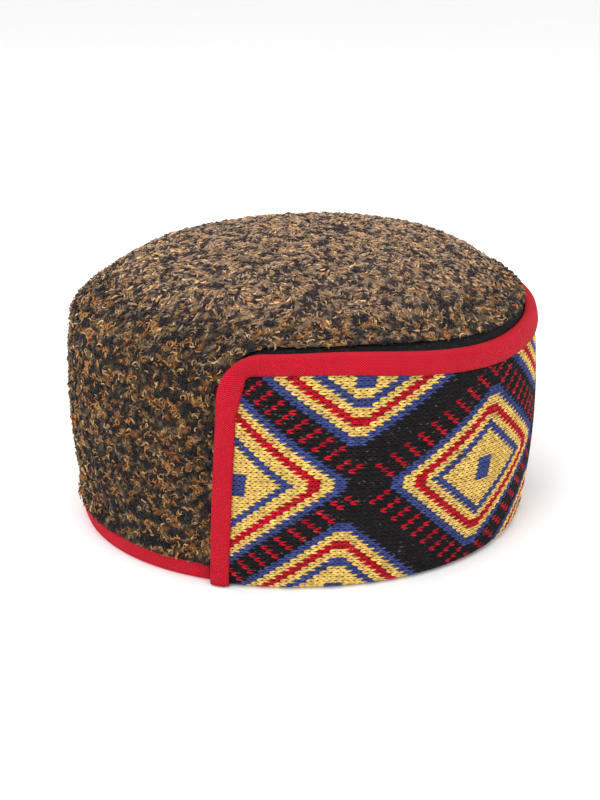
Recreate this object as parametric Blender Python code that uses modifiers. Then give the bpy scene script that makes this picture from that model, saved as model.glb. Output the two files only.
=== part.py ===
# A round wool cap: an oval crown of bouclé wool, and a knitted flap that is turned up
# round its sides and back and bound with red tape. The front of the cap faces -Y.
import bpy
import bmesh
from math import asin, cos, hypot, pi, radians, sin, sqrt
from mathutils import Vector

# The oval of the crown's lower edge
hem_length = 0.2042         # front to back, outside
hem_width = 0.1820          # side to side, outside
front_fullness = 0.0014     # how much the front is fuller than the back

# The crown's wall, from the lower edge to the shoulder
wall_height = 0.0990
wall_bulge = 0.0046         # the furthest that it swells out past the lower edge
side_flatness = 0.0039      # how much less it swells at the two sides
forward_lean = 0.0017       # how far its top sits forward of the lower edge
crown_thickness = 0.0042    # bouclé cloth with its backing

# The shoulder and the top
shoulder_rise = 0.0237
shoulder_inset = 0.0348     # how far the crown turns in over the shoulder
shoulder_roundness = 1.16   # at the front and the sides: 1 is a straight slope, 2 a round one
back_roundness = 1.40       # the same at the back
back_start = radians(105)   # round from the front, where the shoulder begins to get rounder
back_end = radians(165)
dome_rise = 0.0070
seam_rise_front = 0.0140    # the shoulder seam's height above the wall, at the front
seam_rise_back = 0.0110     # the same at the back

# The black band under the flap
band_rise_front = 0.0062    # its upper edge above the crown's wall, beside the front
band_rise_back = 0.0040     # the same at the back
band_thickness = 0.0040

# The knitted flap
flap_thickness = 0.0028
flap_front_rise = 0.0075    # its upper edge above the crown's wall, beside the front
flap_back_rise = -0.0005    # the same at the back
flap_drop_start = radians(78)    # round from the front, where its top begins to drop
flap_drop_end = radians(135)
flap_end_dip = 0.0017       # how much lower its top is at the two ends
flap_dip_end = radians(98)  # round from the front, where that dip has run out
flap_end_angle = radians(51)     # round from the front, at the lower edge
flap_end_lean = 0.0078      # how far each end leans back over the height of the wall
front_end_lean = 0.0170     # the same for the front's own ends, which go on behind the flap
flap_corner = 0.0185        # radius of its two upper corners
turn_radius = 0.0040        # the fold at its lower edge
turn_depth = 0.0035         # how far the fold reaches in under the band

# The red tape
tape_thickness = 0.0009
flap_tape_width = 0.0086    # on the outside of the flap
flap_tape_inside = 0.0065
flap_tape_edge = 0.0012     # radius of its fold over the flap's edge
flap_tape_start = 0.0010    # the height of its lower ends above what the cap rests on
hem_tape_height = 0.0090
hem_tape_inside = 0.0080
hem_tape_edge = 0.0012

# Clearances
piece_gap = 0.00035         # between two pieces that touch on the real cap
seam_gap = 0.0005           # between the crown's own panels
seam_edge = 0.0008          # the panels' last strip beside a seam, which keeps them square to it
band_clearance = 0.0004     # between the tape's inner leaf and the band

# How finely the shells are divided
front_points = 19           # across the front
side_points = 42            # round the sides and the back
wall_points = 7             # up the wall
flap_points = 42            # along the flap, between its corners
flap_corner_points = 5
tape_points = 50            # along the flap's top, between its corners
tape_end_points = 9
tape_corner_points = 8
seam_share = 0.03           # the top's narrow strip beside its seam, as a share of its reach
rim_share = 0.4             # the share of the top's reach that lies on the shoulder
merge_distance = 0.00001
angle_slack = 0.0001
sharp_angle = radians(50)

# The wall's swelling: height as a share of wall_height, swelling as a share of wall_bulge
wall_profile = [
    dict(height=0.00, swell=0.00),
    dict(height=0.33, swell=0.93),
    dict(height=0.67, swell=1.00),
    dict(height=1.00, swell=0.22),
]

# Where the flap's faces and its tape stand, outward from the crown's wall
flap_inner = band_clearance + tape_thickness + piece_gap
flap_outer = flap_inner + flap_thickness
flap_tape_outer = flap_outer + piece_gap + tape_thickness
flap_inset = flap_tape_edge + piece_gap     # the flap's edge inside its tape

# Heights above the hem
band_top = wall_height + band_rise_front
flap_front_height = wall_height + flap_front_rise
flap_back_height = wall_height + flap_back_rise

# Where the front's pieces end beside the flap, and the crown's own sizes
mean_radius = (hem_length + hem_width) / 4
front_end = flap_end_angle - 2 * piece_gap / mean_radius
step_end = front_end + piece_gap / mean_radius
band_end = step_end + 2 * piece_gap / mean_radius
round_length = 2 * pi * mean_radius


def smooth_step(share):
    share = min(max(share, 0.0), 1.0)
    return share * share * (3 - 2 * share)


def mix(start, end, share):
    return start + (end - start) * share


def from_front(angle):
    """The angle round from the front, the same to the left and to the right."""
    return min(angle % (2 * pi), -angle % (2 * pi))


def swell_at(share):
    """The smooth curve through the rows of wall_profile."""
    total = 0.0
    for row in wall_profile:
        weight = row["swell"]
        for other in wall_profile:
            if other is not row:
                weight *= (share - other["height"]) / (row["height"] - other["height"])
        total += weight
    return total


def oval_point(angle, outward):
    """A point of the hem's oval, moved outward square to it. Angle 0 is the front."""
    longer = (hem_length - hem_width) / 4
    radius = mean_radius + longer * cos(2 * angle) + front_fullness * cos(3 * angle)
    growth = -2 * longer * sin(2 * angle) - 3 * front_fullness * sin(3 * angle)
    away = Vector((sin(angle), -cos(angle), 0))
    along = Vector((cos(angle), sin(angle), 0))
    tangent = (away * growth + along * radius).normalized()
    return away * radius + Vector((tangent.y, -tangent.x, 0)) * outward


def wall_point(angle, height, outward):
    """A point outward from the crown's wall, which is carried straight on above it."""
    share = height / wall_height
    swell = wall_bulge * swell_at(share) - side_flatness * 4 * share * (1 - share) * sin(angle) ** 2
    point = oval_point(angle, swell + outward)
    return point + Vector((0, -forward_lean * share, height))


def shoulder_power(angle):
    share = (from_front(angle) - back_start) / (back_end - back_start)
    return 2 / mix(shoulder_roundness, back_roundness, smooth_step(share))


def shoulder_point(angle, turn):
    """A point of the shoulder. turn runs from 0 at the wall to a quarter circle at the top."""
    power = shoulder_power(angle)
    point = wall_point(angle, wall_height, -shoulder_inset * (1 - max(cos(turn), 0) ** power))
    point.z += shoulder_rise * sin(turn) ** power
    return point


def turn_at(angle, rise):
    """The shoulder's turn where it has risen this far above the wall."""
    return asin(min(max(rise / shoulder_rise, 0), 1) ** (1 / shoulder_power(angle)))


def crown_point(angle, height):
    if height <= wall_height:
        return wall_point(angle, height, 0)
    return shoulder_point(angle, turn_at(angle, height - wall_height))


def leaned_point(angle, height):
    """The same, with the angles moved so that the front's ends lean back with the height."""
    lean = front_end_lean / mean_radius * min(height, band_top) / wall_height
    away = from_front(angle)
    if away <= front_end:
        moved = away * (1 + lean / front_end)
    else:
        moved = pi - (pi - away) * (1 - lean / (pi - front_end))
    return crown_point(moved if sin(angle) >= 0 else -moved, height)


def flap_drop(angle):
    """How far the flap's top has dropped, from 0 beside the front to 1 at the back."""
    return smooth_step((from_front(angle) - flap_drop_start) / (flap_drop_end - flap_drop_start))


def band_height(angle):
    return wall_height + mix(band_rise_front, band_rise_back, flap_drop(angle))


def seam_height(angle):
    return wall_height + mix(seam_rise_back, seam_rise_front, (1 + cos(angle)) / 2)


def spread(start, end, count):
    """Even steps from start to end, both counted."""
    return [mix(start, end, i / (count - 1)) for i in range(count)]


def make_material(name, colour, roughness):
    material = bpy.data.materials.new(name)
    material.use_nodes = True
    shader = material.node_tree.nodes["Principled BSDF"]
    shader.inputs["Base Color"].default_value = (*colour, 1)
    shader.inputs["Roughness"].default_value = roughness
    shader.inputs["Metallic"].default_value = 0.0
    material.diffuse_color = (*colour, 1)
    return material


def make_cloth(name, columns, rows, place, thickness, colour, roughness=0.9, keep=None):
    """
    A cloth shell: a grid whose columns and rows are put in place by a function, thickened
    inward. keep says which of the grid's points the cloth has.
    """
    bm = bmesh.new()
    bmesh.ops.create_grid(bm, x_segments=len(columns) - 1, y_segments=len(rows) - 1, size=0.5)
    dropped = []
    for vertex in bm.verts:
        column = columns[round((vertex.co.x + 0.5) * (len(columns) - 1))]
        row = rows[round((vertex.co.y + 0.5) * (len(rows) - 1))]
        if keep and not keep(column, row):
            dropped.append(vertex)
        else:
            vertex.co = place(column, row)
    bmesh.ops.delete(bm, geom=dropped, context="VERTS")
    bmesh.ops.remove_doubles(bm, verts=bm.verts, dist=merge_distance)
    mesh = bpy.data.meshes.new(name)
    bm.to_mesh(mesh)
    bm.free()
    mesh.shade_smooth()
    mesh.set_sharp_from_angle(angle=sharp_angle)
    mesh.materials.append(make_material(name, colour, roughness))
    cloth = bpy.data.objects.new(name, mesh)
    pieces.objects.link(cloth)
    cloth.parent = base
    solidify = cloth.modifiers.new("Thickness", "SOLIDIFY")
    solidify.thickness = thickness
    solidify.offset = -1
    solidify.use_even_offset = True
    return cloth


# The crown

def side_columns():
    """The angles of the columns from one end of the front to the other, round the back."""
    return spread(step_end, 2 * pi - step_end, side_points)


def front_columns():
    return spread(-front_end, front_end, front_points)


def round_columns():
    return front_columns() + side_columns() + [2 * pi - front_end]


def make_top_panel():
    """The bouclé top, from just above the shoulder seam to the middle."""
    def place(angle, share):
        if share < rim_share:
            start = turn_at(angle, seam_height(angle) + seam_gap - wall_height)
            return shoulder_point(angle, mix(start, pi / 2, share / rim_share))
        reach = (1 - share) / (1 - rim_share)
        middle = Vector((0, -forward_lean, wall_height + shoulder_rise))
        rim = shoulder_point(angle, pi / 2)
        return middle + (rim - middle) * reach + Vector((0, 0, dome_rise * (1 - reach ** 2)))

    rows = [0, seam_share] + spread(0, rim_share, 6)[1:] + spread(rim_share, 1, 6)[1:]
    make_cloth("top_panel", round_columns(), rows, place, crown_thickness,
               colour=(0.20, 0.14, 0.09))


def make_side_wall():
    """The bouclé side: full height at the front, and a rim above the band elsewhere."""
    hem_edge = tape_thickness + piece_gap
    rim_row = wall_points
    first_row = hem_tape_height * 1.3

    def place(angle, row):
        top = seam_height(angle)
        rim_edge = band_height(angle) + seam_gap
        heights = ([hem_edge] + spread(first_row, rim_edge, wall_points)
                   + [rim_edge + seam_edge, top - seam_edge, top])
        return leaned_point(angle, heights[row])

    def keep(angle, row):
        return row >= rim_row or from_front(angle) <= front_end + angle_slack

    make_cloth("side_wall", round_columns(), range(rim_row + 4), place, crown_thickness,
               colour=(0.14, 0.09, 0.05), keep=keep)


def make_under_band():
    """The black twill band, from just above the flap's fold to the bouclé rim."""
    bottom = flap_thickness + piece_gap
    columns = [band_end] + side_columns()[1:-1] + [2 * pi - band_end]
    above_fold = turn_radius * 3
    whole_rows = spread(above_fold, wall_height, wall_points - 1)

    def place(angle, row):
        top = band_height(angle)
        heights = [bottom] + whole_rows + [mix(wall_height, top - seam_edge, 0.5), top - seam_edge, top]
        return leaned_point(angle, heights[row])

    make_cloth("under_band", columns, range(len(whole_rows) + 4), place, band_thickness,
               colour=(0.012, 0.012, 0.014), roughness=0.8)


# The flap and its tape

def flap_top(angle):
    dip = 1 - smooth_step((from_front(angle) - flap_end_angle) / (flap_dip_end - flap_end_angle))
    return mix(flap_front_height, flap_back_height, flap_drop(angle)) - flap_end_dip * dip


def corner_base():
    """The height at which the flap's upper corners begin."""
    return flap_top(flap_end_angle) - flap_corner


def end_place(height):
    """How far round the hem the flap's end stands at a height."""
    return flap_end_angle * mean_radius + flap_end_lean * height / wall_height


def flap_section(distance, top):
    """
    How far out from the wall, and how high, the flap's outside is at a distance down from
    its top: straight down, round the fold, and then flat in under the band.
    """
    straight = top - turn_radius
    if distance <= straight:
        return flap_outer, top - distance
    turned = (distance - straight) / turn_radius
    if turned < pi / 2:
        return (flap_outer - turn_radius * (1 - cos(turned)), turn_radius * (1 - sin(turned)))
    return flap_outer - turn_radius - (turned - pi / 2) * turn_radius, 0.0


def make_flap():
    """The knitted flap, whose lower edge folds under the band and is sewn there."""
    fold_length = turn_radius * pi / 2 + flap_outer - turn_radius + turn_depth
    fold_row = wall_points
    rows = range(fold_row + 8)
    start = end_place(corner_base()) + flap_inset
    whole = round_length - 2 * start
    radius = flap_corner - flap_inset

    def place(along, row):
        angle = (start + along * whole) / mean_radius
        from_end = min(along, 1 - along) * whole
        top = flap_top(angle) - flap_inset
        if from_end < radius:
            top -= radius - sqrt(radius ** 2 - (radius - from_end) ** 2)
        length = top - turn_radius + fold_length
        if row < fold_row:
            distance = mix(length, length - fold_length, row / fold_row)
        else:
            distance = mix(length - fold_length, 0, (row - fold_row) / (rows[-1] - fold_row))
        outward, height = flap_section(distance, top)
        lean = (end_place(height) + flap_inset - start) * (1 - 2 * along)
        return wall_point(angle + lean / mean_radius, height, outward)

    corner = [radius * (1 - cos(turned)) / whole for turned in spread(0, pi / 2, flap_corner_points)[:-1]]
    middle = spread(radius / whole, 1 - radius / whole, flap_points)
    columns = corner + middle + [1 - share for share in reversed(corner)]
    make_cloth("flap", columns, rows, place, flap_thickness, colour=(0.30, 0.13, 0.05))


def fold_top():
    """The height that the flap's inner leaf of tape stays above, clear of the fold."""
    return turn_radius + piece_gap


def tape_route():
    """
    The flap's free edge, from the hem up one end, over the corners and the top, and down
    the other end: how far round the hem each point is, and how high.
    """
    base = corner_base()
    heights = [flap_tape_start] + spread(fold_top(), base, tape_end_points)
    first = [(end_place(height), height) for height in heights]
    middle = end_place(base) + flap_corner
    for turned in spread(0, pi / 2, tape_corner_points)[1:]:
        place = middle - flap_corner * cos(turned)
        dip = flap_top(place / mean_radius) - flap_top(flap_end_angle)
        first.append((place, base + flap_corner * sin(turned) + dip * (1 - cos(turned))))
    top = spread(first[-1][0], round_length - first[-1][0], tape_points)[1:-1]
    over = [(place, flap_top(place / mean_radius)) for place in top]
    return first + over + [(round_length - place, height) for place, height in reversed(first)]


def inward_from(route, i):
    """The direction square to the route at its point i, into the flap."""
    before, after = route[max(i - 1, 0)], route[min(i + 1, len(route) - 1)]
    along, up = after[0] - before[0], after[1] - before[1]
    return up / hypot(along, up), -along / hypot(along, up)


def make_flap_binding():
    """The tape folded over the flap's free edge: outer leaf, fold and inner leaf."""
    route = tape_route()
    edge = flap_tape_edge
    outside, inside = flap_tape_outer, band_clearance
    half = radians(45)

    section = [(flap_tape_width, outside), (flap_tape_width * 0.5, outside), (edge, outside),
               (edge * (1 - cos(half)), outside - edge * (1 - sin(half))), (0, outside - edge),
               (0, inside + edge), (edge * (1 - cos(half)), inside + edge * (1 - sin(half))),
               (edge, inside), (flap_tape_inside, inside)]
    inner_leaf = 7

    def keep(i, j):
        # beside the flap's own fold the tape only goes round the edge
        return j < inner_leaf or route[i][1] >= fold_top()

    def place(i, j):
        across, outward = section[j]
        step = inward_from(route, i)
        along, height = route[i][0] + step[0] * across, route[i][1] + step[1] * across
        return wall_point(along / mean_radius, height, outward)

    make_cloth("flap_binding", range(len(route)), range(len(section)), place, tape_thickness,
               colour=(0.62, 0.012, 0.035), roughness=0.75, keep=keep)


def make_hem_binding():
    """The tape folded over the front's lower edge, from flap end to flap end."""
    edge = hem_tape_edge
    outside = piece_gap + tape_thickness
    inside = -crown_thickness - piece_gap - tape_thickness
    half = radians(45)
    section = [(hem_tape_inside, inside), (edge, inside),
               (edge * (1 - sin(half)), inside + edge * (1 - cos(half))), (0, inside + edge),
               (0, outside - edge), (edge * (1 - sin(half)), outside - edge * (1 - cos(half))),
               (edge, outside), (hem_tape_height * 0.5, outside), (hem_tape_height, outside)]

    def place(angle, j):
        height, outward = section[j]
        return wall_point(angle, height, outward)

    make_cloth("hem_binding", front_columns(), range(len(section)), place, tape_thickness,
               colour=(0.62, 0.012, 0.035), roughness=0.75)


def centre_on_base():
    """Moves the cap so that the middle of its outline lies over the origin."""
    bpy.context.view_layer.update()
    depsgraph = bpy.context.evaluated_depsgraph_get()
    corners = []
    for piece in pieces.objects:
        if piece.type == "MESH":
            solid = piece.evaluated_get(depsgraph)
            corners += [solid.matrix_world @ vertex.co for vertex in solid.data.vertices]
    for axis in (0, 1):
        values = [corner[axis] for corner in corners]
        base.location[axis] -= (min(values) + max(values)) / 2


for old in list(bpy.data.objects):
    bpy.data.objects.remove(old, do_unlink=True)
pieces = bpy.data.collections.new("wool_cap")
bpy.context.scene.collection.children.link(pieces)
base = bpy.data.objects.new("cap_base", None)
pieces.objects.link(base)

make_top_panel()
make_side_wall()
make_under_band()
make_flap()
make_flap_binding()
make_hem_binding()
centre_on_base()
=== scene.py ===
from math import cos, pi, radians, sin, tau

import bmesh
import bpy
import numpy as np
from mathutils import Matrix, Vector, noise


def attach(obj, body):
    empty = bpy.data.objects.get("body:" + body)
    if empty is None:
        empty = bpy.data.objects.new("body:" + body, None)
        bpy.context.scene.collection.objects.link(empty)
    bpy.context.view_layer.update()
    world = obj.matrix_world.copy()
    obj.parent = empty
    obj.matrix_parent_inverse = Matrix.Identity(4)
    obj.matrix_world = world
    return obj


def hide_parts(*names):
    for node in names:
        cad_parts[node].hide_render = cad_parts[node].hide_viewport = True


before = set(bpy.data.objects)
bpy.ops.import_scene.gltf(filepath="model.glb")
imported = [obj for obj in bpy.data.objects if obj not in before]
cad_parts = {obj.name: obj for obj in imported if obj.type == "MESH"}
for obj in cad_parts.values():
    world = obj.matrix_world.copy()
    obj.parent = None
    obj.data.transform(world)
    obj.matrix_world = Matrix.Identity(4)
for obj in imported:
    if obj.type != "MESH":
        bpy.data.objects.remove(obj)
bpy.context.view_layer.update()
print("frame loaded:", sorted(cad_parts))

mm = 0.001

# The cap's own sizes, as the solids have them, in metres
cap = {
    "hemLength": 0.2042, "hemWidth": 0.1820, "frontFullness": 0.0014,
    "wallHeight": 0.0990, "wallBulge": 0.0046, "sideFlatness": 0.0039, "forwardLean": 0.0017,
    "crownThickness": 0.0042, "bandThickness": 0.0040,
    "shoulderRise": 0.0237, "shoulderInset": 0.0348, "shoulderRoundness": 1.16,
    "backRoundness": 1.40, "backStart": radians(105), "backEnd": radians(165),
    "domeRise": 0.0070, "seamRiseFront": 0.0140, "seamRiseBack": 0.0110,
    "bandFront": 0.1052, "bandBack": 0.1030,
    "flapFront": 0.1065, "flapBack": 0.0985, "dropStart": radians(78), "dropEnd": radians(135),
    "endDip": 0.0017, "dipEnd": radians(98),
    "flapEnd": radians(51), "flapEndLean": 0.0078, "frontEndLean": 0.0170, "flapCorner": 0.0185,
    "flapInner": 0.00165, "flapOuter": 0.00445, "turnRadius": 0.0040, "turnDepth": 0.0035,
    "gap": 0.00035, "planShift": 0.00016,
    "swellHeights": [0.0, 0.33, 0.67, 1.0], "swells": [0.0, 0.93, 1.0, 0.22],
}
meanRadius = (cap["hemLength"] + cap["hemWidth"]) / 4
frontEnd = cap["flapEnd"] - 2 * cap["gap"] / meanRadius
roundLength = tau * meanRadius


def ease(share):
    share = np.clip(share, 0, 1)
    return share * share * (3 - 2 * share)


def between(start, end, share):
    return start + (end - start) * share


def fromFront(angle):  # the same to the left and to the right
    return np.abs((np.asarray(angle) + pi) % tau - pi)


def swellAt(share):  # the wall's bulge by height, one smooth curve through its values
    total = 0.0
    for i, own in enumerate(cap["swellHeights"]):
        weight = cap["swells"][i]
        for other in cap["swellHeights"]:
            if other != own:
                weight = weight * (share - other) / (own - other)
        total = total + weight
    return total


def ovalPoints(angle, outward):
    longer = (cap["hemLength"] - cap["hemWidth"]) / 4
    full = cap["frontFullness"]
    radius = meanRadius + longer * np.cos(2 * angle) + full * np.cos(3 * angle)
    growth = -2 * longer * np.sin(2 * angle) - 3 * full * np.sin(3 * angle)
    away = np.stack([np.sin(angle), -np.cos(angle)], -1)
    along = np.stack([np.cos(angle), np.sin(angle)], -1)
    tangent = away * growth[..., None] + along * radius[..., None]
    tangent /= np.linalg.norm(tangent, axis=-1, keepdims=True)
    square = np.stack([tangent[..., 1], -tangent[..., 0]], -1)
    return away * radius[..., None] + square * outward[..., None]


def wallPoints(angle, height, outward):  # angle 0 is the front (-Y), towards +X
    sizes = (np.asarray(size, float) for size in (angle, height, outward))
    angle, height, outward = np.broadcast_arrays(*sizes)
    share = height / cap["wallHeight"]
    flat = cap["sideFlatness"] * 4 * share * (1 - share) * np.sin(angle) ** 2
    plan = ovalPoints(angle, cap["wallBulge"] * swellAt(share) - flat + outward)
    plan[..., 1] += cap["planShift"] - cap["forwardLean"] * share
    return np.concatenate([plan, height[..., None]], -1)


def shoulderPower(angle):
    share = ease((fromFront(angle) - cap["backStart"]) / (cap["backEnd"] - cap["backStart"]))
    return 2 / between(cap["shoulderRoundness"], cap["backRoundness"], share)


def shoulderPoints(angle, turn):
    power = shoulderPower(angle)
    inward = cap["shoulderInset"] * (1 - np.maximum(np.cos(turn), 0) ** power)
    points = wallPoints(angle, cap["wallHeight"], -inward)
    points[..., 2] += cap["shoulderRise"] * np.sin(turn) ** power
    return points


def turnAt(angle, rise):
    return np.arcsin(np.clip(rise / cap["shoulderRise"], 0, 1) ** (1 / shoulderPower(angle)))


def angleOf(points):
    return np.arctan2(points[:, 0], -points[:, 1])


def crownPoints(angle, height):
    above = np.broadcast_to(height > cap["wallHeight"], np.broadcast(angle, height).shape)[..., None]
    wall = wallPoints(angle, np.minimum(height, cap["wallHeight"]), 0)
    return np.where(above, shoulderPoints(angle, turnAt(angle, height - cap["wallHeight"])), wall)


def leanedPoints(angle, height):  # the front's ends lean back with the height
    lean = cap["frontEndLean"] / meanRadius * np.minimum(height, cap["bandFront"]) / cap["wallHeight"]
    away = fromFront(angle)
    moved = np.where(away <= frontEnd, away * (1 + lean / frontEnd),
                     pi - (pi - away) * (1 - lean / (pi - frontEnd)))
    return crownPoints(np.where(np.sin(angle) >= 0, moved, -moved), height)


def seamHeight(angle):
    share = (1 + np.cos(angle)) / 2
    return cap["wallHeight"] + between(cap["seamRiseBack"], cap["seamRiseFront"], share)


def flapDrop(angle):  # 0 beside the front, 1 at the back
    return ease((fromFront(angle) - cap["dropStart"]) / (cap["dropEnd"] - cap["dropStart"]))


def bandHeight(angle):
    return between(cap["bandFront"], cap["bandBack"], flapDrop(angle))


def flapTop(angle):
    dip = 1 - ease((fromFront(angle) - cap["flapEnd"]) / (cap["dipEnd"] - cap["flapEnd"]))
    return between(cap["flapFront"], cap["flapBack"], flapDrop(angle)) - cap["endDip"] * dip


def cornerBase():  # the height at which the flap's upper corners begin
    return flapTop(cap["flapEnd"]) - cap["flapCorner"]


def endPlace(height):  # how far round the hem the flap's end stands
    return cap["flapEnd"] * meanRadius + cap["flapEndLean"] * height / cap["wallHeight"]


# Making meshes

def makeGrid(columns, rows):  # a flat grid, with each vertex's column and row
    bm = bmesh.new()
    bmesh.ops.create_grid(bm, x_segments=columns - 1, y_segments=rows - 1, size=0.5)
    column = np.array([round((v.co.x + 0.5) * (columns - 1)) for v in bm.verts])
    row = np.array([round((v.co.y + 0.5) * (rows - 1)) for v in bm.verts])
    return bm, column, row


def putAt(bm, points):
    for vertex, point in zip(bm.verts, points):
        vertex.co = point


def setMap(bm, across, up):  # the cloth's own flat coordinates, in metres
    bm.verts.index_update()
    layer = bm.loops.layers.uv.new("cloth")
    for face in bm.faces:
        for loop in face.loops:
            loop[layer].uv = (across[loop.vert.index], up[loop.vert.index])


def finishPiece(bm, name, material, nodes=()):
    mesh = bpy.data.meshes.new(name)
    bm.to_mesh(mesh)
    bm.free()
    return addPiece(mesh, name, material, nodes)


def addPiece(mesh, name, material, nodes=()):
    mesh.shade_smooth()
    mesh.materials.append(material)
    piece = bpy.data.objects.new(name, mesh)
    bpy.context.scene.collection.objects.link(piece)
    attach(piece, "root")
    if nodes:
        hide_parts(*nodes)
    return piece


def thicken(piece, thickness):  # inwards from the face
    solidify = piece.modifiers.new("thickness", "SOLIDIFY")
    solidify.thickness = thickness
    solidify.offset = -1


def setTint(mesh, colours):
    tint = mesh.color_attributes.new("tint", "FLOAT_COLOR", "POINT")
    tint.data.foreach_set("color", colours.astype(np.float32).ravel())


def readShape(bm):  # a small shape as arrays, to be copied many times
    bm.verts.index_update()
    shape = {
        "points": np.array([v.co for v in bm.verts]),
        "corners": np.array([v.index for f in bm.faces for v in f.verts]),
        "sizes": np.array([len(f.verts) for f in bm.faces]),
    }
    bm.free()
    return shape


def joinCopies(name, batches, material):  # batches: a shape, each copy's points and colours
    points, colours, corners, sizes, start = [], [], [], [], 0
    for shape, placed, tints in batches:
        copies, each = placed.shape[:2]
        points.append(placed.reshape(-1, 3))
        colours.append(tints.reshape(-1, 4))
        corners.append((shape["corners"][None] + np.arange(copies)[:, None] * each + start).ravel())
        sizes.append(np.tile(shape["sizes"], copies))
        start += copies * each
    points, colours = np.concatenate(points), np.concatenate(colours)
    corners, sizes = np.concatenate(corners), np.concatenate(sizes)
    mesh = bpy.data.meshes.new(name)
    mesh.vertices.add(len(points))
    mesh.vertices.foreach_set("co", points.astype(np.float32).ravel())
    mesh.loops.add(len(corners))
    mesh.loops.foreach_set("vertex_index", corners.astype(np.int32))
    mesh.polygons.add(len(sizes))
    starts = np.concatenate([[0], np.cumsum(sizes)[:-1]])
    mesh.polygons.foreach_set("loop_start", starts.astype(np.int32))
    mesh.update(calc_edges=True)
    setTint(mesh, colours)
    piece = addPiece(mesh, name, material)
    print(f"{name}: {int((sizes - 2).sum())} triangles")
    return piece


def noiseAt(points, size, shift=0.0):
    aside = Vector((shift, 0, 0))
    return np.array([noise.noise(Vector(p) / size + aside) for p in points.tolist()])


def linear(red, green, blue):  # a screen colour, 0 to 255, as the shader takes it
    shares = (red / 255, green / 255, blue / 255)
    return [c / 12.92 if c < 0.04045 else ((c + 0.055) / 1.055) ** 2.4 for c in shares]


# Node groups

def newGroup(name, inputs, outputs):
    group = bpy.data.node_groups.new(name, "ShaderNodeTree")
    for label, kind, value in inputs:
        socket = group.interface.new_socket(label, in_out="INPUT", socket_type=kind)
        if value is not None:
            socket.default_value = value
    for label, kind in outputs:
        group.interface.new_socket(label, in_out="OUTPUT", socket_type=kind)
    return group, group.nodes.new("NodeGroupInput"), group.nodes.new("NodeGroupOutput")


def mathNode(tree, operation, first, second=None, third=None):
    node = tree.nodes.new("ShaderNodeMath")
    node.operation = operation
    for i, value in enumerate((first, second, third)):
        if isinstance(value, (int, float)):
            node.inputs[i].default_value = value
        elif value is not None:
            tree.links.new(value, node.inputs[i])
    return node.outputs[0]


def noiseNode(tree, vector, scale, detail=3.0, roughness=0.6):
    node = tree.nodes.new("ShaderNodeTexNoise")
    node.inputs["Scale"].default_value = scale
    node.inputs["Detail"].default_value = detail
    node.inputs["Roughness"].default_value = roughness
    tree.links.new(vector, node.inputs["Vector"])
    return node.outputs["Fac"]


def makeTwillGroup():  # diagonal ribs crossed by single threads
    group, source, result = newGroup(
        "twillWeave",
        [("Vector", "NodeSocketVector", None), ("Pitch", "NodeSocketFloat", 0.001),
         ("Slant", "NodeSocketFloat", 1.0)],
        [("Height", "NodeSocketFloat"), ("Shade", "NodeSocketFloat")])
    split = group.nodes.new("ShaderNodeSeparateXYZ")
    group.links.new(source.outputs["Vector"], split.inputs[0])
    u = mathNode(group, "DIVIDE", split.outputs["X"], source.outputs["Pitch"])
    v = mathNode(group, "DIVIDE", split.outputs["Y"], source.outputs["Pitch"])
    wander = noiseNode(group, source.outputs["Vector"], 160.0, 2.0)
    ribs = mathNode(group, "MULTIPLY_ADD", v, source.outputs["Slant"], u)
    ribs = mathNode(group, "MULTIPLY_ADD", wander, 0.5, ribs)
    ribs = mathNode(group, "SINE", mathNode(group, "MULTIPLY", ribs, tau))
    threads = mathNode(group, "MULTIPLY", mathNode(group, "SUBTRACT", u, v), tau)
    threads = mathNode(group, "SINE", threads)
    height = mathNode(group, "MULTIPLY_ADD", threads, 0.45, ribs)
    group.links.new(height, result.inputs["Height"])
    fine = noiseNode(group, source.outputs["Vector"], 2600.0, 2.0)
    fine = mathNode(group, "MULTIPLY_ADD", fine, 0.3, 0.85)
    shade = mathNode(group, "MULTIPLY_ADD", height, 0.4, fine)
    group.links.new(shade, result.inputs["Shade"])
    return group


def makeFibreGroup():  # fine hairs and soft unevenness, for any yarn
    group, source, result = newGroup(
        "yarnFibres",
        [("Vector", "NodeSocketVector", None), ("Depth", "NodeSocketFloat", 0.3)],
        [("Height", "NodeSocketFloat"), ("Shade", "NodeSocketFloat")])
    hairs = noiseNode(group, source.outputs["Vector"], 1500.0, 4.0, 0.7)
    soft = noiseNode(group, source.outputs["Vector"], 260.0, 2.0)
    height = mathNode(group, "MULTIPLY_ADD", soft, 0.6, hairs)
    group.links.new(height, result.inputs["Height"])
    swing = mathNode(group, "SUBTRACT", mathNode(group, "MULTIPLY_ADD", soft, 0.5, hairs), 0.75)
    shade = mathNode(group, "MULTIPLY_ADD", swing, source.outputs["Depth"], 1.0)
    group.links.new(shade, result.inputs["Shade"])
    return group


twillWeave = makeTwillGroup()
yarnFibres = makeFibreGroup()


def newMaterial(name, look):
    material = bpy.data.materials.new(name)
    material.use_nodes = True
    tree = material.node_tree
    shader = tree.nodes["Principled BSDF"]
    shader.inputs["Roughness"].default_value = look["roughness"]
    shader.inputs["Sheen Weight"].default_value = look["sheen"]
    shader.inputs["Sheen Roughness"].default_value = 0.5
    shader.inputs["Sheen Tint"].default_value = (*look.get("sheenTint", (1, 1, 1)), 1)
    shader.inputs["Specular IOR Level"].default_value = 0.1  # cloth hardly shines
    return material, tree, shader


def tinted(tree, colour, shade):  # a colour, brighter or darker by a mask
    node = tree.nodes.new("ShaderNodeVectorMath")
    node.operation = "SCALE"
    if isinstance(colour, (list, tuple)):
        node.inputs[0].default_value = colour
    else:
        tree.links.new(colour, node.inputs[0])
    tree.links.new(shade, node.inputs["Scale"])
    return node.outputs[0]


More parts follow.
